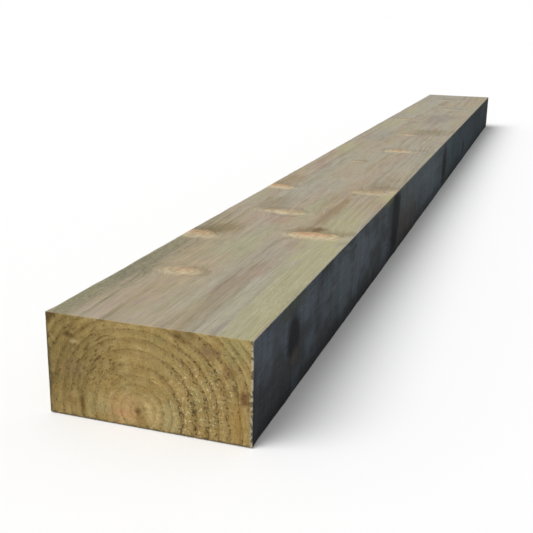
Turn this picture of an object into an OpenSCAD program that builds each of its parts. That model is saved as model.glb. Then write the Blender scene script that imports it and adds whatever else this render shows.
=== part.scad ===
// Railway sleeper of the landscaping kind: one length of sawn, pressure-treated softwood.
// It is a single piece of timber, so the model is one solid.
// Frame: X runs along the length, Y across the width and Z up from the bed it lies on.
// The origin is the centre of the bottom face.

/* [Timber] */
// Length, from sawn end to sawn end
sleeper_length = 2400; // [1200:100:3600]
// Width of the top and bottom faces
sleeper_width = 200; // [150:5:300]
// Thickness, from the bottom face to the top face
sleeper_thickness = 100; // [75:5:200]

/* [Edges] */
// Radius of the four long edges, eased by handling
edge_radius = 3; // [1:0.5:12]
// Chamfer round each end, where the cross-cut saw and knocks broke the corner
end_chamfer = 2; // [0.5:0.5:10]

/* [Hidden] */

timber_colour = [0.62, 0.56, 0.44];
arc_sides = 48;
// How far a cutting profile runs past the timber, so that no faces coincide
overrun = 10;

// Rectangle with round corners, centred on the origin.
module eased_rectangle(width, height, radius) {
    square([width - 2 * radius, height], center = true);
    square([width, height - 2 * radius], center = true);
    for (side = [-1, 1], level = [-1, 1])
        translate([side * (width / 2 - radius), level * (height / 2 - radius)])
            circle(r = radius, $fn = arc_sides);
}

// Rectangle with its four corners cut off at 45 degrees, centred on the origin.
module chamfered_rectangle(width, height, chamfer) {
    x = width / 2;
    y = height / 2;
    polygon([
        [-x + chamfer, -y], [x - chamfer, -y], [x, -y + chamfer], [x, y - chamfer],
        [x - chamfer, y], [-x + chamfer, y], [-x, y - chamfer], [-x, -y + chamfer]
    ]);
}

// The sawn section, run along the full length.
module sawn_length() {
    rotate([90, 0, 90])
        linear_extrude(height = sleeper_length, center = true)
            eased_rectangle(sleeper_width, sleeper_thickness, edge_radius);
}

// Outline seen from above: takes the chamfer off the upright edges of both ends.
module plan_outline() {
    linear_extrude(height = sleeper_thickness + 2 * overrun, center = true)
        chamfered_rectangle(sleeper_length, sleeper_width, end_chamfer);
}

// Outline seen from the side: takes the chamfer off the level edges of both ends.
module side_outline() {
    rotate([90, 0, 0])
        linear_extrude(height = sleeper_width + 2 * overrun, center = true)
            chamfered_rectangle(sleeper_length, sleeper_thickness, end_chamfer);
}

module sleeper() {
    color(timber_colour)
        translate([0, 0, sleeper_thickness / 2])
            intersection() {
                sawn_length();
                plan_outline();
                side_outline();
            }
}

sleeper();
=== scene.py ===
# A railway sleeper of the landscaping kind: one length of sawn, pressure-treated softwood.
# The scene is in metres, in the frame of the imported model: X runs along the length, from the
# near end to the far one, Y across the width and Z up from the floor. The timber's own sizes
# are given in millimetres, and its colours as red, green and blue from 0 to 255.
import math

import bmesh
import bpy
import numpy as np
from mathutils import Euler, Matrix, Vector, noise


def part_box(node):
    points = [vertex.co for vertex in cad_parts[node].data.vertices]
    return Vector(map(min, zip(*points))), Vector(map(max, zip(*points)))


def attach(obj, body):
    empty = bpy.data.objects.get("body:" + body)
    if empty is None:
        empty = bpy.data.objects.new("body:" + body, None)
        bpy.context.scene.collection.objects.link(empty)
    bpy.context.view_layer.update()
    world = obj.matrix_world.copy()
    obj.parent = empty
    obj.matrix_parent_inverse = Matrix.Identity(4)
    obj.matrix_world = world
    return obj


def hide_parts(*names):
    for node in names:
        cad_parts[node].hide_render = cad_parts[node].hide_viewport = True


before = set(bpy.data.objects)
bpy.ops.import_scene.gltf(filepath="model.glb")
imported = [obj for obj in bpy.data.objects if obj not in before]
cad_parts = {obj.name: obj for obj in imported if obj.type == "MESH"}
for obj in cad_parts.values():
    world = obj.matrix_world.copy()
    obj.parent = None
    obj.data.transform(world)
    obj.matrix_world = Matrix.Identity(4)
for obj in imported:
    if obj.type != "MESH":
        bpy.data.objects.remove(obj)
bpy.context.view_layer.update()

# ---------------------------------------------------------------------------------------------
# Camera: it stands at knee height just off the near end, right of the timber's centre line,
# and looks down the length.
# ---------------------------------------------------------------------------------------------
camera_place = Vector((-1.8165, -0.3123, 0.3587))
camera_heading = math.radians(-71.74)  # from +Y, turning towards +X
camera_down = math.radians(16.62)
camera_tilt = math.radians(1.14)
camera_lens = 57.3  # millimetres, on a 36 mm sensor
nearest_seen = 0.05
farthest_seen = 500

bpy.ops.object.select_all(action="DESELECT")
bpy.ops.object.camera_add()
camera = bpy.context.object
camera.name = "camera"
camera.data.lens = camera_lens
camera.data.clip_start = nearest_seen
camera.data.clip_end = farthest_seen
camera.matrix_world = (
    Matrix.Translation(camera_place)
    @ Matrix.Rotation(camera_heading, 4, "Z")
    @ Matrix.Rotation(math.pi / 2 - camera_down, 4, "X")
    @ Matrix.Rotation(camera_tilt, 4, "Z")
)
bpy.context.scene.camera = camera

# ---------------------------------------------------------------------------------------------
# Studio: a plain white floor that runs out of sight, one broad soft light from above the near
# end's left side, and an even white surround that fills the shadows.
# ---------------------------------------------------------------------------------------------
floor_reach = 400
floor_sides = 64
floor_white = 0.93
light_strength = 2.45
light_spread = math.radians(45)
light_down = math.radians(38)  # from straight overhead
light_heading = math.radians(40)  # from +X, turning towards -Y
fill_strength = 0.46
backdrop_strength = 1.0

bpy.ops.object.select_all(action="DESELECT")
bpy.ops.mesh.primitive_circle_add(vertices=floor_sides, radius=floor_reach, fill_type="NGON")
floor = bpy.context.object
floor.name = "studio_floor"
floor_paint = bpy.data.materials.new("floor_paint")
floor_paint.use_nodes = True
floor_shader = floor_paint.node_tree.nodes["Principled BSDF"]
floor_shader.inputs["Base Color"].default_value = (floor_white, floor_white, floor_white, 1)
floor_shader.inputs["Roughness"].default_value = 1
floor_shader.inputs["Specular IOR Level"].default_value = 0
floor.data.materials.append(floor_paint)

bpy.ops.object.light_add(type="SUN")
soft_light = bpy.context.object
soft_light.name = "soft_light"
soft_light.data.energy = light_strength
soft_light.data.angle = light_spread
soft_light.rotation_euler = Euler((0, -light_down, -light_heading))

surround = bpy.data.worlds.new("surround")
bpy.context.scene.world = surround
surround.use_nodes = True
surround_nodes = surround.node_tree.nodes
# The surround lights the timber as the fill, and shows behind it as the backdrop.
fill = surround_nodes["Background"]
fill.inputs["Color"].default_value = (1, 1, 1, 1)
fill.inputs["Strength"].default_value = fill_strength
backdrop = surround_nodes.new("ShaderNodeBackground")
backdrop.inputs["Color"].default_value = (1, 1, 1, 1)
backdrop.inputs["Strength"].default_value = backdrop_strength
seen_straight = surround_nodes.new("ShaderNodeLightPath")
fill_or_backdrop = surround_nodes.new("ShaderNodeMixShader")
surround.node_tree.links.new(seen_straight.outputs["Is Camera Ray"], fill_or_backdrop.inputs[0])
surround.node_tree.links.new(fill.outputs[0], fill_or_backdrop.inputs[1])
surround.node_tree.links.new(backdrop.outputs[0], fill_or_backdrop.inputs[2])
surround_out = surround_nodes["World Output"]
surround.node_tree.links.new(fill_or_backdrop.outputs[0], surround_out.inputs["Surface"])
bpy.context.scene.view_settings.view_transform = "Standard"

# ---------------------------------------------------------------------------------------------
# The timber: a whole balk of fast-grown softwood, sawn on four sides with the heart low in it,
# cross-cut at both ends and pressure treated. Its long faces have weathered grey and its ends are
# still the gold-green of the treatment. The right side is painted nearly black: painted shade over a
# darker damp stain.
# ---------------------------------------------------------------------------------------------
low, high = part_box("sleeper")
mm = 0.001
half_length = (high.x - low.x) / 2 / mm
half_width = (high.y - low.y) / 2 / mm
thickness = (high.z - low.z) / mm

# The blank: a box cut into fine rows, closer together along every edge.
bpy.ops.object.select_all(action="DESELECT")
bpy.ops.mesh.primitive_cube_add(size=1, location=(low + high) / 2, scale=high - low)
timber = bpy.context.object
timber.name = "sleeper_timber"
bpy.ops.object.transform_apply(location=True, rotation=False, scale=True)

in_line = 0.99  # the share of an edge that has to run along an axis


def cut_edges_along(axis, cuts):
    """Cuts every edge that runs along an axis, so that the rows on all faces stay in line."""
    bpy.ops.object.mode_set(mode="EDIT")
    bpy.ops.mesh.select_mode(type="EDGE")
    bpy.ops.mesh.select_all(action="DESELECT")
    shape = bmesh.from_edit_mesh(timber.data)
    for edge in shape.edges:
        run = edge.verts[1].co - edge.verts[0].co
        edge.select = abs(run[axis]) > in_line * run.length
    bmesh.update_edit_mesh(timber.data)
    bpy.ops.mesh.subdivide(number_cuts=cuts)
    bpy.ops.object.mode_set(mode="OBJECT")


# The length is cut in two goes, because a hundred cuts are the most for one.
length_rows = 300
width_rows = 80
thickness_rows = 40
second_cuts = 2
cut_edges_along(0, length_rows // (second_cuts + 1) - 1)
cut_edges_along(0, second_cuts)
cut_edges_along(1, width_rows - 1)
cut_edges_along(2, thickness_rows - 1)

# The faces of both ends are cut in four, to take the marks of the torn fibre.
bpy.ops.object.mode_set(mode="EDIT")
bpy.ops.mesh.select_mode(type="FACE")
bpy.ops.mesh.select_all(action="DESELECT")
blank = bmesh.from_edit_mesh(timber.data)
for face in blank.faces:
    face.select = abs(face.normal.x) > in_line
bmesh.update_edit_mesh(timber.data)
bpy.ops.mesh.subdivide(number_cuts=1)
bpy.ops.object.mode_set(mode="OBJECT")

# Where the rows lie, from an edge inwards. The middle rows share what is left evenly.
end_rows = [0, 1, 2, 3, 4.5, 6.5, 9, 12, 16]
edge_rows = [0, 1, 2, 3, 4.5]


def row_places(rows, size, first_rows):
    """Places of all the rows across a size, close together at both edges."""
    between = np.linspace(first_rows[-1], size - first_rows[-1], rows - 2 * len(first_rows) + 3)
    last_rows = [size - place for place in reversed(first_rows)]
    return np.concatenate([first_rows, between[1:-1], last_rows])


corners = np.empty(len(timber.data.vertices) * 3, np.float32)
timber.data.vertices.foreach_get("co", corners)
corners = corners.reshape(-1, 3).astype(float)
for axis, rows, first_rows in (
    (0, length_rows, end_rows),
    (1, width_rows, edge_rows),
    (2, thickness_rows, edge_rows),
):
    size = (high[axis] - low[axis]) / mm
    counted = (corners[:, axis] - low[axis]) / mm / size * rows
    places = row_places(rows, size, first_rows)
    corners[:, axis] = low[axis] / mm + np.interp(counted, np.arange(rows + 1), places)

# The eased edges: every corner near an edge is drawn in onto a small rounding, which is
# slighter round the ends and worn unevenly, in long hollows and in short knocks.
long_edge_radius = 3.0
end_edge_radius = 1.8
end_edge_reach = 12
long_wear = 0.35
short_wear = 0.25


def roughness_of(points, along, across, seed):
    """Smooth random numbers from -1 to 1, in marks of about these lengths."""
    scaled = points / (along, across, across) + (seed * 7.31, seed * 3.17, seed * 5.73)
    return np.array([noise.noise(place) for place in scaled.tolist()])


from_end = half_length - np.abs(corners[:, 0])
edge_radius = np.interp(from_end, [0, end_edge_reach], [end_edge_radius, long_edge_radius])
hollows = long_wear * roughness_of(corners, 60, 400, 1)
knocks = short_wear * roughness_of(corners, 11, 400, 2)
edge_radius *= 1 + hollows + knocks
lowest = np.array([-half_length, -half_width, 0])
highest = np.array([half_length, half_width, thickness])
inner = np.clip(corners, lowest + edge_radius[:, None], highest - edge_radius[:, None])
outwards = corners - inner
outwards /= np.linalg.norm(outwards, axis=1)[:, None]
sawn = corners
corners = inner + outwards * edge_radius[:, None]


# Growth. The same functions work on the mesh's own points and on the values of a material.
def sine(value):
    return np.sin(value) if isinstance(value, np.ndarray) else value.math("SINE")


def root(value):
    return np.sqrt(value) if isinstance(value, np.ndarray) else value.math("SQRT")


def swell(value):
    """1 where the value is 0, fading away as it grows."""
    return np.exp(-value) if isinstance(value, np.ndarray) else (value * -1).math("EXPONENT")


def at_least(value, bottom):
    return np.maximum(value, bottom) if isinstance(value, np.ndarray) else value.math("MAXIMUM", bottom)


heart_side = 9  # from the middle of the width, at the near end
heart_height = 17
side_wander = 7
height_wander = 5
ring_width = 9.2
branch_lean = 0.15  # how far a branch runs along the timber for each millimetre outwards
branch_span = 100  # how far out from the heart the places and sizes of branches are given

# Every branch that the tree had here: how far along the timber it is, the way it grew, in
# degrees from +Y up towards +Z, half its width along and across, how pale its knot is, how
# brown the grain beyond it, which is partly painted shade, and how orange its core.
branches = np.array([
    (-1085, 160, 17, 19, 0.9, 0.2, 0.2),
    (-1036, 73, 16, 23, 0.6, 0.3, 0.3),
    (-888, 49, 18, 20, 0.7, 0.8, 0.4),
    (-845, 127, 16, 26, 1.0, 0.75, 0.9),
    (-730, 86, 17, 38, 1.0, 0.25, 0.1),
    (-566, 50, 17, 22, 1.0, 0.6, 0.6),
    (-560, 133, 15, 18, 0.7, 0.2, 0.1),
    (-540, 164, 26, 42, 0.9, 0.6, 0.1),
    (-280, 86, 15, 16, 0.4, 0.2, 0.1),
    (-125, 117, 21, 28, 0.8, 0.4, 0.5),
    (54, 166, 24, 22, 0.9, 0.3, 0.1),
    (130, 103, 17, 18, 0.9, 0.7, 0.0),
    (425, 60, 18, 22, 0.5, 0.6, 0.2),
    (440, 174, 16, 16, 0.7, 0.4, 0.1),
    (730, 112, 19, 24, 0.6, 0.6, 0.2),
    (748, 20, 17, 18, 0.8, 0.5, 0.4),
    (1010, 78, 18, 22, 0.6, 0.6, 0.2),
    (-905, 8, 18, 19, 0.8, 0.6, 0.6),
    (-300, 14, 17, 18, 0.8, 0.5, 0.4),
    (140, 2, 19, 20, 0.8, 0.6, 0.7),
    (-850, 262, 30, 30, 0.7, 0.5, 0.4),
    (-150, 285, 32, 34, 0.7, 0.5, 0.2),
    (735, 268, 30, 32, 0.7, 0.5, 0.5),
])
branch_starts, branch_headings = branches[:, 0], np.radians(branches[:, 1])
branch_places = np.stack([branch_starts, np.cos(branch_headings), np.sin(branch_headings)], axis=1)
branch_sizes = branches[:, 2:4]
branch_looks = branches[:, 4:7]


def from_heart(x, y, z):
    """How far a point lies from the heart, sideways, upwards and in all. The heart wanders a
    few millimetres on its way along the timber."""
    side = y - heart_side - side_wander * sine(x / 560 + 2.14)
    height = z - heart_height - height_wander * sine(x / 740 + 1.62)
    return side, height, root(side * side + height * height)


def off_branch(x, y, z, start, towards_y, towards_z, half_along, half_across):
    """How far off a branch's middle a point lies, as a share of its half width there, and how
    much of that is along the timber and across it, the last in millimetres."""
    side, height, _ = from_heart(x, y, z)
    out = at_least(side * towards_y + height * towards_z, 1)
    across = height * towards_y - side * towards_z
    along = (x - out * branch_lean - start + branch_span * branch_lean) / half_along
    wide = across / half_across
    return root(along * along + wide * wide) * branch_span / out, along, across


def grown(x, y, z, off):
    """Rings between the heart and a point that lies so far off the nearest branch. The rings
    ripple, widen and narrow, and swell out round a branch."""
    radius = from_heart(x, y, z)[2]
    ripple = sine(y / 21 + x / 310) + sine(z / 16 - x / 270 + 2) + 0.6 * sine((y + z) / 9 + 1)
    rings = (radius + ripple * radius / 75) * (1 + x / 26000) / ring_width
    rings = rings + 0.3 * sine(radius / 19) + 0.14 * sine(radius / 7 + 2)
    return rings - 0.9 * swell(off * off / 2.6)


def off_all_branches(points):
    """How far off every branch each point lies, one row for each branch."""
    places = zip(branch_places, branch_sizes)
    return np.stack([off_branch(*points.T, *place, *size)[0] for place, size in places])


# Relief: saw waves, hard grain and knots left standing, torn fibre on the ends and splinters
# down the near end's right edge. All of it lies inside the sawn size.
saw_mark_depth = 0.12
saw_wander_depth = 0.14
soft_grain_depth = 0.16
knot_height = 0.22
end_least_depth = 0.15
end_saw_depth = 0.12
end_grain_depth = 0.06
tear_depth = 0.6
splinter_depth = 0.9
splinter_reach = 4
end_fade = 1.5

x, y, z = corners.T
off = off_all_branches(corners).min(axis=0)
rings = grown(x, y, z, off)
late = rings - np.floor(rings)
to_long_face = np.minimum(half_width - np.abs(y), np.minimum(z, thickness - z))
on_end = np.clip((to_long_face - from_end) / end_fade, 0, 1)

saw_marks = saw_mark_depth * (1 + roughness_of(corners, 9, 500, 3))
saw_wander = saw_wander_depth * (1 + roughness_of(corners, 260, 60, 4))
worn_down = soft_grain_depth * (1 - late**2) + knot_height * (1 - swell(off * off))
long_relief = saw_marks + saw_wander + worn_down

tearing = roughness_of(corners, 3, 2.4, 5)
patches = roughness_of(corners, 400, 46, 6)
hard_grain = np.cos(2 * math.pi * (late - 0.85))
torn = np.clip((tearing + 0.4 * patches + 0.1 * hard_grain - 0.4) / 0.3, 0, 1)
end_waves = end_least_depth + end_saw_depth * (1 + roughness_of(corners, 50, 30, 7))
end_relief = end_waves + end_grain_depth * (1 - late) + tear_depth * torn
depth = long_relief * (1 - on_end) + end_relief * on_end

to_splintered_edge = np.maximum(x + half_length, y + half_width)
splinters = np.clip(roughness_of(corners, 40, 4.6, 8) * 2.2, 0, 1)
depth += splinter_depth * splinters * np.clip(1 - to_splintered_edge / splinter_reach, 0, 1)

corners = (corners - outwards * depth[:, None]) * mm
timber.data.vertices.foreach_set("co", corners.astype(np.float32).ravel())
timber.data.update()

# A flat layout of the six faces for a baked finish. The long faces lie side by side, squeezed
# lengthways as their grain allows. The ends carry the finest marks, so they lie larger beside them.
sheet = 1024
margin = 4
end_scale = (sheet / 2 - 2 * margin) / (2 * half_width)
end_column = sheet - margin - thickness * end_scale
across_scale = (end_column - 5 * margin) / (4 * half_width + 2 * thickness)
along_scale = (sheet - 2 * margin) / (2 * half_length)
points_of_faces = np.empty(len(timber.data.loops), np.int32)
timber.data.loops.foreach_get("vertex_index", points_of_faces)
face_corners = sawn[points_of_faces]
first_corners = np.empty(len(timber.data.polygons), np.int32)  # where each face's corners start
timber.data.polygons.foreach_get("loop_start", first_corners)
corner_counts = np.diff(first_corners, append=len(face_corners))
least = np.minimum.reduceat(face_corners, first_corners)
most = np.maximum.reduceat(face_corners, first_corners)
flat_axis = (most - least).argmin(axis=1)[:, None]
on_high_side = np.take_along_axis(least > (lowest + highest) / 2, flat_axis, axis=1)
flat_axis = np.repeat(flat_axis[:, 0], corner_counts)
on_high_side = np.repeat(on_high_side[:, 0], corner_counts)
x, y, z = face_corners.T
layout = np.empty((len(face_corners), 2), np.float32)
strip_edge = margin
for axis, high_side, across, width in (
    (2, True, half_width - y, 2 * half_width),
    (1, False, thickness - z, thickness),
    (2, False, half_width + y, 2 * half_width),
    (1, True, z, thickness),
):
    here = (flat_axis == axis) & (on_high_side == high_side)
    layout[here, 0] = strip_edge + across[here] * across_scale
    layout[here, 1] = margin + (half_length + x[here]) * along_scale
    strip_edge += width * across_scale + margin
for high_side, across, lower_edge in ((False, z, margin), (True, thickness - z, sheet / 2 + margin)):
    here = (flat_axis == 0) & (on_high_side == high_side)
    layout[here, 0] = end_column + across[here] * end_scale
    layout[here, 1] = lower_edge + (half_width + y[here]) * end_scale
flat_layout = timber.data.uv_layers.new(name="OFBake")
flat_layout.uv.foreach_set("vector", (layout / sheet).ravel())

# What the finish reads off the mesh: where fibre is torn away, and each face's nearest branch.
hollow = timber.data.attributes.new("hollow", "FLOAT", "POINT")
hollow.data.foreach_set("value", (torn * on_end).astype(np.float32))
middles = np.empty(len(timber.data.polygons) * 3, np.float32)
timber.data.polygons.foreach_get("center", middles)
nearest = off_all_branches(middles.reshape(-1, 3) / mm).argmin(axis=0)
branch_sizes = np.pad(branch_sizes, ((0, 0), (0, 1)))  # a third, idle number fills the vector
for name, facts in (
    ("branch_place", branch_places),
    ("branch_size", branch_sizes),
    ("branch_look", branch_looks),
):
    kept = timber.data.attributes.new(name, "FLOAT_VECTOR", "FACE")
    kept.data.foreach_set("vector", facts[nearest].astype(np.float32).ravel())

bpy.ops.object.select_all(action="DESELECT")
timber.select_set(True)
bpy.context.view_layer.objects.active = timber
smooth_up_to = math.radians(50)
bpy.ops.object.shade_smooth_by_angle(angle=smooth_up_to)

# The finish: one material, mixed from a grey face, a black face and an end.
wood = bpy.data.materials.new("treated_softwood")
wood.use_nodes = True
wood_nodes = wood.node_tree.nodes
wood_links = wood.node_tree.links
wood_shader = wood_nodes["Principled BSDF"]


class Value:
    """Something that changes from point to point of the wood. Arithmetic on it adds Math nodes."""

    def __init__(self, socket):
        self.socket = socket

    @classmethod
    def made_by(cls, kind, settings, given, output=0):
        """Adds a node of a kind, with its settings and what its sockets are given."""
        node = wood_nodes.new(kind)
        for name, setting in settings.items():
            setattr(node, name, setting)
        for name, thing in given.items():
            if isinstance(thing, cls):
                wood_links.new(thing.socket, node.inputs[name])
            else:
                node.inputs[name].default_value = thing
        return cls(node.outputs[output])

    def math(self, operation, *others):
        numbers = dict(enumerate((self, *others)))
        return self.made_by("ShaderNodeMath", {"operation": operation}, numbers)

    def __add__(self, other):
        return self.math("ADD", other)

    __radd__ = __add__

    def __mul__(self, other):
        return self.math("MULTIPLY", other)

    __rmul__ = __mul__

    def __sub__(self, other):
        return self.math("SUBTRACT", other)

    def __rsub__(self, other):
        return (self * -1).math("ADD", other)

    def __truediv__(self, other):
        return self.math("DIVIDE", other)

    def step(self, start, end):
        """0 before start, 1 after end and smooth between; start may be the greater."""
        given = {"Value": self, "From Min": start, "From Max": end}
        return self.made_by("ShaderNodeMapRange", {"interpolation_type": "SMOOTHSTEP"}, given)

    def parts(self):
        """The three numbers of a vector, one by one."""
        return [self.made_by("ShaderNodeSeparateXYZ", {}, {0: self}, axis) for axis in "XYZ"]


def screen_colour(red, green, blue):
    """A colour read off a screen, as the light that it gives back."""
    return tuple(((level / 255 + 0.055) / 1.055) ** 2.4 for level in (red, green, blue)) + (1,)


def blend(share, first, second):
    """The first colour where the share is 0, the second where it is 1."""
    return Value.made_by("ShaderNodeMix", {"data_type": "RGBA"}, {0: share, 6: first, 7: second}, 2)


def vector_math(operation, given):
    return Value.made_by("ShaderNodeVectorMath", {"operation": operation}, given)


def shaded(colour, amount):
    return vector_math("SCALE", {0: colour, "Scale": amount})


def kept_on_mesh(name, output="Vector"):
    """What the mesh keeps under a name."""
    return Value.made_by("ShaderNodeAttribute", {"attribute_name": name}, {}, output)


spot = Value.made_by("ShaderNodeTexCoord", {}, {}, "Object")
spot = vector_math("SCALE", {0: spot, "Scale": 1 / mm})
x, y, z = spot.parts()
start, towards_y, towards_z = kept_on_mesh("branch_place").parts()
half_along, half_across, _ = kept_on_mesh("branch_size").parts()
paleness, brownness, orangeness = kept_on_mesh("branch_look").parts()
off, along, across = off_branch(x, y, z, start, towards_y, towards_z, half_along, half_across)

# The fibre parts round a knot: there it is looked up nearer to the knot's middle.
given = {"Y": towards_z * -1, "Z": towards_y}
sideways = Value.made_by("ShaderNodeCombineXYZ", {}, given)
drawn_in = vector_math("SCALE", {0: sideways, "Scale": across * swell(off * off / 2.2) * -0.75})
parted = vector_math("ADD", {0: spot, 1: drawn_in})


def marks(along, across, detail, seed, where=spot):
    """Random marks from about -1 to 1, of about these lengths along and across the timber."""
    seeded = (seed * 17.3, seed * 5.1, seed * 9.7)
    given = {0: where, 1: (1 / along, 1 / across, 1 / across), 2: seeded}
    given = {"Vector": vector_math("MULTIPLY_ADD", given), "Scale": 1, "Detail": detail}
    return (Value.made_by("ShaderNodeTexNoise", {}, given) - 0.5) * 3


# Marks of every size, from single hairs and fibres along the grain to broad patches of weather.
fibre = marks(60, 1.6, 3, 1, parted)
hair = marks(16, 0.6, 2, 13, parted)
streak = marks(330, 8, 3, 2, parted)
weather = marks(420, 60, 3, 3)
tint = marks(190, 42, 2, 14)
grit = marks(2.2, 2.2, 2, 4)
cloud = marks(40, 30, 3, 5)
figure = marks(44, 4.6, 3, 17, parted)
ragged_rim = cloud * 0.3 + streak * 0.34 + figure * 0.22 + fibre * 0.12


def patch(centre, reach):
    """1 in the middle of an oval patch of the timber, 0 outside it, with a soft uneven rim."""
    scale = [1 / size for size in reach]
    shift = [-place / size for place, size in zip(centre, reach)]
    off_centre = vector_math("MULTIPLY_ADD", {0: spot, 1: scale, 2: shift})
    distance = Value.made_by("ShaderNodeVectorMath", {"operation": "LENGTH"}, {0: off_centre}, "Value")
    return (distance + ragged_rim).step(1.2, 0.3)


def stained(colour, stains):
    """The colour with patches of stain laid over it, one after the other."""
    for centre, reach, stain, strength in stains:
        colour = blend(patch(centre, reach) * strength, colour, stain)
    return colour


# How far it is to each edge, and so which of the three finishes shows.
to_end = half_length - x.math("ABSOLUTE")
to_right = y + half_width
to_left = half_width - y
to_top = thickness - z
to_long_face = to_right.math("MINIMUM", to_left).math("MINIMUM", to_top).math("MINIMUM", z)
is_end = (to_long_face - to_end + grit * 0.5).step(-0.7, 0.7)
is_right = (to_top.math("MINIMUM", z).math("MINIMUM", to_end) - to_right + grit * 0.5).step(-0.6, 0.8)

# The darker, harder wood that closes each ring, and the fine line where it ends.
rings = grown(x, y, z, off) + fibre * 0.05 + grit * 0.06 + cloud * 0.14
late = rings.math("FRACT")
latewood = late.step(0.3, 0.88) * late.step(1.0, 0.92)
ring_line = late.step(0.74, 0.9) * late.step(1.0, 0.95)

# Long faces: pale grey-tan, streaked along the grain.
grey_tan = screen_colour(168, 162, 146)
warm_tan = screen_colour(166, 150, 124)
mauve_grey = screen_colour(146, 134, 126)
olive_grey = screen_colour(146, 144, 116)
rose_tan = screen_colour(166, 146, 130)
leaf_grey = screen_colour(160, 158, 132)
silver_grey = screen_colour(166, 165, 155)
brown_line = screen_colour(108, 90, 66)
face = blend(weather.step(-0.5, 0.7), grey_tan, warm_tan)
face = blend((streak * 0.8 + cloud * 0.7).step(0.0, 0.8) * 0.5, face, mauve_grey)
face = blend((weather * 0.6 - streak * 0.8 - cloud * 0.5).step(0.2, 0.9) * 0.6, face, olive_grey)
face = blend(tint.step(0.1, 0.8) * 0.8, face, rose_tan)
face = blend(tint.step(-0.1, -0.8) * 0.8, face, leaf_grey)
silvered = x.step(0, 700) * (y.step(-60, 60) * 0.28 + 0.1)
face = blend(silvered, face, silver_grey)
patchy = marks(160, 22, 2, 8).step(-0.7, 0.8)
face = blend(latewood * patchy * 0.24, face, brown_line)
face = blend(ring_line * patchy * 0.24, face, brown_line)
grain_line = marks(130, 1.2, 2, 31, parted).step(0.25, 0.6) * marks(90, 30, 1, 32).step(-0.5, 0.4)
face = blend(grain_line * 0.34, face, brown_line)

# Where the long faces have stained: the middle and reach of each patch, its colour and how
# strongly it shows.
rough_green = screen_colour(122, 120, 98)
fresh_green = screen_colour(172, 168, 128)
dull_mauve = screen_colour(166, 140, 124)
dull_brown = screen_colour(136, 116, 88)
brown_spot = screen_colour(112, 90, 66)
olive_brown = screen_colour(128, 114, 82)
grey_blue = screen_colour(150, 150, 140)
face_stains = [
    ((-1050, -86, 100), (260, 30, 30), fresh_green, 0.65),
    ((-820, -70, 100), (150, 34, 30), fresh_green, 0.5),
    ((-780, 14, 100), (32, 22, 30), dull_mauve, 0.6),
    ((-1090, -28, 100), (150, 16, 30), dull_brown, 0.42),
    ((-700, -41, 100), (130, 12, 30), dull_brown, 0.6),
    ((-816, -44, 100), (18, 24, 30), dull_brown, 0.5),
    ((-812, -50, 100), (15, 13, 30), brown_spot, 0.8),
    ((-850, 66, 100), (34, 30, 30), olive_brown, 0.6),
    ((-690, 44, 100), (60, 26, 30), olive_brown, 0.35),
    ((-500, 76, 100), (50, 30, 30), dull_brown, 0.35),
    ((-510, -64, 100), (90, 24, 30), olive_brown, 0.35),
    ((-120, 80, 100), (90, 24, 30), fresh_green, 0.35),
    ((330, 66, 100), (120, 30, 30), fresh_green, 0.4),
    ((640, 70, 100), (130, 20, 30), fresh_green, 0.4),
    ((190, -50, 100), (70, 50, 30), olive_brown, 0.5),
    ((470, -30, 100), (150, 34, 30), mauve_grey, 0.6),
    ((760, -40, 100), (110, 26, 30), grey_blue, 0.6),
    ((80, 50, 100), (120, 30, 30), grey_blue, 0.5),
    ((1080, 0, 100), (60, 90, 30), mauve_grey, 0.3),
    ((-580, -98, 100), (50, 18, 30), fresh_green, 0.6),
]
face = stained(face, face_stains)

# The left edge by the near end has been scuffed rough and has gone green.
rough_band = patch((-1040, 88, 100), (250, 27, 30))
face = blend(rough_band * (cloud * 0.3 + 0.7), face, rough_green)
face = shaded(face, 1 + rough_band * (grit + marks(7, 4, 2, 22)) * 0.22)

# Knots: an orange core, a cream near side that is partly a painted highlight, and brown grain beyond
# that is partly painted shade.
cream = screen_colour(204, 190, 158)
knot_tan = screen_colour(182, 160, 124)
knot_orange = screen_colour(196, 148, 112)
knot_brown = screen_colour(112, 88, 62)
brown_grain_and_shade = screen_colour(106, 88, 62)
knot_grain = marks(15, 9, 2, 21, parted)
about = off + knot_grain * 0.15 + figure * 0.08 + cloud * 0.2 + fibre * 0.05
knot = about.step(1.1, 0.86)
knot_rim = about.step(1.16, 1.02) * about.step(0.84, 0.98)
# The cream near side is partly a painted highlight, and the brown beyond is partly painted shade.
pale_side_and_highlight = about.step(1.6, 0.8) * (along + knot_grain * 0.5).step(0.5, -0.6)
beyond = (along + streak * 0.3 + knot_grain * 0.2).step(0.2, 1.1)
brown_lee_and_shade = (about + cloud * 0.2).step(2.4, 1.0) * beyond
face = blend(brown_lee_and_shade * brownness * 0.55, face, brown_grain_and_shade)
face = blend(knot * paleness * (0.6 + knot_grain * 0.2), face, knot_tan)
core = (about - along * 0.3).step(0.8, 0.25) * orangeness
face = blend(core * 0.8, face, knot_orange)
face = blend(pale_side_and_highlight * paleness * (0.6 + figure * 0.32), face, cream)
knot_rings = sine(off * 16 + cloud)
face = blend(knot_rim * (along.step(-0.4, 0.4) * 0.3 + 0.15) * brownness, face, knot_brown)

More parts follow.
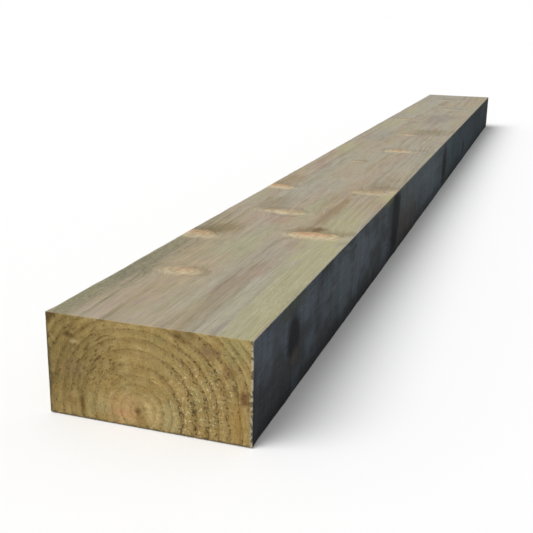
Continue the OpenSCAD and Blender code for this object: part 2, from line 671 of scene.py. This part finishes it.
# Drying cracks run out from a knot's middle, each a thin spoke.
spokes = 3.2
wide = across / half_across
from_middle = at_least(root(along * along + wide * wide), 0.05)
given = {
    "X": along / from_middle * spokes,
    "Y": wide / from_middle * spokes,
    "Z": off * 0.5 + start * 0.37,
}
spoke = Value.made_by("ShaderNodeCombineXYZ", {}, given)
spoke = Value.made_by("ShaderNodeTexNoise", {}, {"Vector": spoke, "Scale": 1, "Detail": 2})
cracks = spoke.step(0.57, 0.66) * off.step(1.0, 0.6) * off.step(0.08, 0.3)
face = blend(cracks * 0.28, face, knot_brown)
saw_mark = marks(1.4, 34, 2, 41)
grain_shade = 1 + fibre * 0.15 + hair * 0.17 + figure * 0.08 + grit * 0.05
face = shaded(face, grain_shade + weather * 0.08 + cloud * 0.04)
face = shaded(face, 1 + knot * knot_rings * 0.09 + saw_mark * 0.05)

# Handling has rubbed the long edges of the grey faces pale.
rubbed = screen_colour(184, 179, 160)
to_corner = to_right.math("MINIMUM", to_left).math("MAXIMUM", to_top.math("MINIMUM", z))
worn = (to_corner + grit * 0.8 + streak * 1.6 + fibre * 0.6).step(3.6, 1.4)
face = blend(worn * 0.5, face, rubbed)

# Right side: nearly black and blue-grey, which is painted shade over a darker damp stain, with the
# same grain faint beneath and moss on its top edge.
slate = screen_colour(75, 83, 91)
shade_black = screen_colour(50, 52, 55)
teal = screen_colour(40, 61, 67)
umber = screen_colour(64, 58, 54)
pale_slate = screen_colour(78, 88, 92)
pitch_black = screen_colour(16, 18, 20)
moss_black = screen_colour(58, 62, 44)
moss_green = screen_colour(100, 100, 68)
# Painted shade: these base colours are the right side as it looks in shade, nearly black with a cold
# blue cast.
dark = blend((cloud + marks(200, 90, 2, 9)).step(-0.6, 0.5), slate, shade_black)
dark = blend(x.step(-300, 300) * (weather * 0.4 + 0.6), dark, teal)
dark_stains = [
    ((-430, -100, 40), (130, 30, 70), umber, 0.7),
    ((100, -100, 30), (80, 30, 50), umber, 0.5),
    ((1120, -100, 50), (140, 30, 90), umber, 0.6),
    ((-880, -100, 60), (90, 30, 50), pale_slate, 0.7),
    ((-170, -100, 60), (170, 30, 50), pale_slate, 0.7),
    ((-340, -100, 92), (460, 30, 48), pale_slate, 0.55),
    ((-1085, -100, 94), (50, 30, 12), moss_black, 0.6),
    ((-585, -100, 99), (46, 30, 10), moss_green, 0.8),
]
dark = stained(dark, dark_stains)
dark = blend((about.step(1.5, 0.5) * 0.75 + knot * 0.25) * paleness, dark, pitch_black)
dark = shaded(dark, 1 + knot * knot_rings * 0.18 - cracks * 0.3)
stains_over_knots = [
    ((-1078, -100, 38), (20, 30, 13), umber, 0.8),
    ((50, -100, 40), (40, 30, 60), pitch_black, 0.7),
    ((-560, -100, 50), (46, 30, 90), pitch_black, 0.55),
]
dark = stained(dark, stains_over_knots)

# Painted shade darkens it towards the ground and over the far half. Faint upright streaks run down
# it, and its top edge is worn pale beyond the near end.
bottom_shade = (z + cloud * 8 + grit * 3).step(26, 2) * (0.4 - x.step(0, 600) * 0.25)
dark = shaded(dark, 1 - bottom_shade - x.step(-100, 600) * 0.31)
upright = marks(8, 130, 3, 6)
dark = shaded(dark, 1 + fibre * 0.26 + hair * 0.26 - grain_line * 0.25 + grit * 0.12)
dark = shaded(dark, 1 + upright * 0.26 + cloud * 0.2 + saw_mark * 0.08)
worn_arris = screen_colour(112, 110, 88)
dark = blend((to_top + grit * 0.6 + streak).step(5, 1) * x.step(-900, -500) * 0.4, dark, worn_arris)

# Ends: gold-green, with the rings in section and the fibre torn by the saw.
gold = screen_colour(144, 122, 73)
straw = screen_colour(162, 140, 93)
olive = screen_colour(126, 110, 64)
ring_brown = screen_colour(100, 78, 42)
pit_brown = screen_colour(66, 48, 28)
pale_fleck = screen_colour(196, 180, 140)
end = blend(marks(60, 11, 3, 7).step(-0.8, 0.9), gold, straw)
end = blend(marks(60, 19, 3, 10).step(0.0, 0.9) * 0.7, end, olive)

# Where the near end has stained: the middle and reach of each patch, sideways from the middle
# of the width and up, its colour and how strongly it shows.
heart_orange = screen_colour(176, 146, 100)
heart_pink = screen_colour(176, 136, 96)
pale_straw = screen_colour(178, 156, 106)
heart_brown = screen_colour(92, 62, 30)
pith_shade = screen_colour(132, 104, 58)
grey_green = screen_colour(164, 151, 106)
orange_gold = screen_colour(150, 120, 66)
clear_green = screen_colour(150, 138, 90)
purple_brown = screen_colour(122, 98, 70)
red_brown = screen_colour(100, 68, 44)
dark_brown = screen_colour(84, 64, 34)
dull_olive = screen_colour(116, 100, 58)
dark_olive = screen_colour(92, 82, 54)
end_stains = [
    ((80, 56), (34, 60), dull_olive, 0.75),
    ((48, 70), (24, 40), dull_olive, 0.3),
    ((19, 17), (22, 18), heart_orange, 0.7),
    ((22, 13), (13, 4), heart_pink, 0.6),
    ((-6, 17), (9, 16), pale_straw, 0.8),
    ((-22, 14), (11, 19), grey_green, 0.7),
    ((44, 17), (9, 10), grey_green, 0.5),
    ((56, 14), (7, 15), clear_green, 0.5),
    ((65, 14), (2.5, 13), dark_brown, 0.7),
    ((-87, 20), (9, 24), orange_gold, 0.8),
    ((-83, 88), (13, 15), clear_green, 0.8),
    ((-58, 83), (13, 7), purple_brown, 0.75),
    ((-77, 68), (7, 8), red_brown, 0.4),
    ((-91, 45), (5, 9), red_brown, 0.8),
    ((-35, 95), (12, 8), dark_brown, 0.45),
    ((77, 81), (7, 4.5), dark_brown, 0.95),
    ((72, 75), (7, 2.5), pale_fleck, 0.35),
    ((72, 48), (18, 13), purple_brown, 0.5),
    ((100, 40), (6, 70), dark_olive, 0.8),
    ((97, 98), (10, 9), dark_brown, 0.9),
    ((7, 9), (5, 9), pith_shade, 0.6),
    ((9, 17), (4.5, 4.5), heart_brown, 0.8),
]
warmth = marks(30, 13, 2, 51)
end = blend(warmth.step(0.0, 0.8) * 0.5, end, orange_gold)
end = blend(warmth.step(0.0, -0.8) * 0.4, end, clear_green)
for (side, height), (side_reach, height_reach), stain, strength in end_stains:
    mask = patch((-half_length, side, height), (40, side_reach, height_reach))
    end = blend(mask * strength, end, stain)

# The torn fibre follows the rings: short strokes along them, worst right of the heart.
side, height, radius = from_heart(x, y, z)
true_radius = 80  # how far from the heart the lengths of strokes along the rings are true


def strokes(along_ring, across_ring, detail, seed):
    """Random marks of about these lengths along the rings and across them, on the ends."""
    turns = true_radius / along_ring
    given = {"X": side / radius * turns, "Y": height / radius * turns, "Z": radius / across_ring + seed}
    polar = Value.made_by("ShaderNodeCombineXYZ", {}, given)
    given = {"Vector": polar, "Scale": 1, "Detail": detail}
    return (Value.made_by("ShaderNodeTexNoise", {}, given) - 0.5) * 3


# Coarse fast-grown wood right of the heart, and closer wood above it.
coarse = patch((-half_length, -50, 36), (half_length, 40, 56)) * 0.75 + 0.25
close_grown = patch((-half_length, 14, 42), (half_length, 46, 44))
hue = marks(9, 6, 2, 25)
sage = screen_colour(132, 126, 88)
russet = screen_colour(140, 106, 76)
end = blend(hue.step(0.1, 0.9) * coarse * 0.5, end, sage)
end = blend(hue.step(-0.1, -0.9) * coarse * 0.4, end, russet)
short_strokes = strokes(6, 1.5, 2, 5)
long_strokes = strokes(26, 4, 2, 60)
rays = strokes(1.1, 12, 1, 80)
speckle = marks(1.7, 1.7, 1, 11)
pores = marks(0.7, 0.7, 1, 43)
broken = short_strokes.step(-0.5, 0.4)

# The rings, dark and broken up, and faintest in the closer wood.
end = shaded(end, 1 + long_strokes * 0.2 + short_strokes * (coarse * 0.2 + 0.12))
end = blend(latewood * broken * coarse * 0.5, end, ring_brown)
end = blend(latewood * broken * (1 - coarse) * (1 - close_grown * 0.5) * 0.45, end, ring_brown)
ring_strength = (1 - coarse * 0.5) * (1 - close_grown * 0.55) * 0.34
end = blend(ring_line * (broken * 0.6 + 0.4) * ring_strength, end, ring_brown)

# Pits where fibre has been pulled out, slanting gashes at the upper left, pale flecks of lifted
# fibre, and the fine upright lines of the saw.
pit_chance = marks(2.2, 2.2, 1, 15) + short_strokes * 0.6 + (latewood - 0.4) * 0.5 - close_grown * 0.3
pits = (pit_chance + coarse * 0.6).step(0.85, 1.3)
fleck_chance = marks(2.2, 2.2, 1, 12) + short_strokes * 0.5 - latewood * 0.4
flecks = (fleck_chance + coarse * 0.5).step(0.62, 1.25)
end = blend(pits * 0.75, end, pit_brown)
gashes = strokes(9, 2.6, 1, 33).step(0.1, 0.55) * patch((-half_length, 58, 60), (half_length, 46, 46))
end = blend(gashes * 0.7, end, dark_brown)
end = blend(flecks * coarse * 0.65, end, pale_fleck)
saw_tooth_gap = 2.3
saw_lines = sine((y + grit * 0.3) * (2 * math.pi / saw_tooth_gap)) * cloud.step(-0.3, 0.9)
end = shaded(end, 1.02 + grit * 0.12 + speckle * 0.12 + saw_lines * 0.05 + pores * 0.15 + rays * 0.08)
torn_away = kept_on_mesh("hollow", "Fac")
end = blend(torn_away * (0.55 - close_grown * 0.3), end, pit_brown)

# The rims of the ends: grime along the left edge, grime with painted contact shadow along the
# bottom, and a line of broken fibre down the right edge, pale and dark by turns, where the saw came
# out.
grime_and_contact_shadow = screen_colour(84, 74, 52)
broken_fibre = screen_colour(186, 179, 158)
split_fibre = screen_colour(88, 82, 66)
edge_grit = grit * 1.2
along_edge = marks(40, 4.6, 2, 16)
to_grime_and_shadow = z.math("MINIMUM", to_left) + edge_grit + along_edge * 2
# Painted contact shadow along the bottom edge, with grime there and along the left edge.
end = blend(to_grime_and_shadow.step(3.6, 0.6) * 0.8, end, grime_and_contact_shadow)
edge_fibre = blend(along_edge.step(-0.15, 0.15), split_fibre, broken_fibre)
end = blend((to_right + edge_grit + along_edge).step(4.2, 2.0) * 0.7, end, edge_fibre)

# The right side's colour is mostly painted shade.
colour = blend(is_right, face, dark)
colour = blend(is_end, colour, end)
wood_links.new(colour.socket, wood_shader.inputs["Base Color"])

# Fibres stand up, and pits and cracks go in, by a tenth of a millimetre or two.
bump_strength = 0.8
wood_dullness = 0.86
wood_gloss = 0.1
dull = wood_dullness - worn * 0.12 + fibre * 0.04 - is_right * (cloud * 0.05) * (1 - is_end)
wood_links.new(dull.socket, wood_shader.inputs["Roughness"])
grain_height = fibre * 0.15 + hair * 0.09 + saw_mark * 0.07 - grain_line * 0.12 - cracks * 0.25
end_height = short_strokes * 0.1 + speckle * 0.1 + grit * 0.1 + pores * 0.08
end_height = end_height - pits * 0.35 + saw_lines * 0.05
height = blend(is_end, grain_height, end_height)
given = {"Strength": bump_strength, "Distance": mm, "Height": height}
bumped = Value.made_by("ShaderNodeBump", {}, given)
wood_links.new(bumped.socket, wood_shader.inputs["Normal"])
wood_shader.inputs["Specular IOR Level"].default_value = wood_gloss
timber.data.materials.append(wood)

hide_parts("sleeper")
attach(timber, "root")
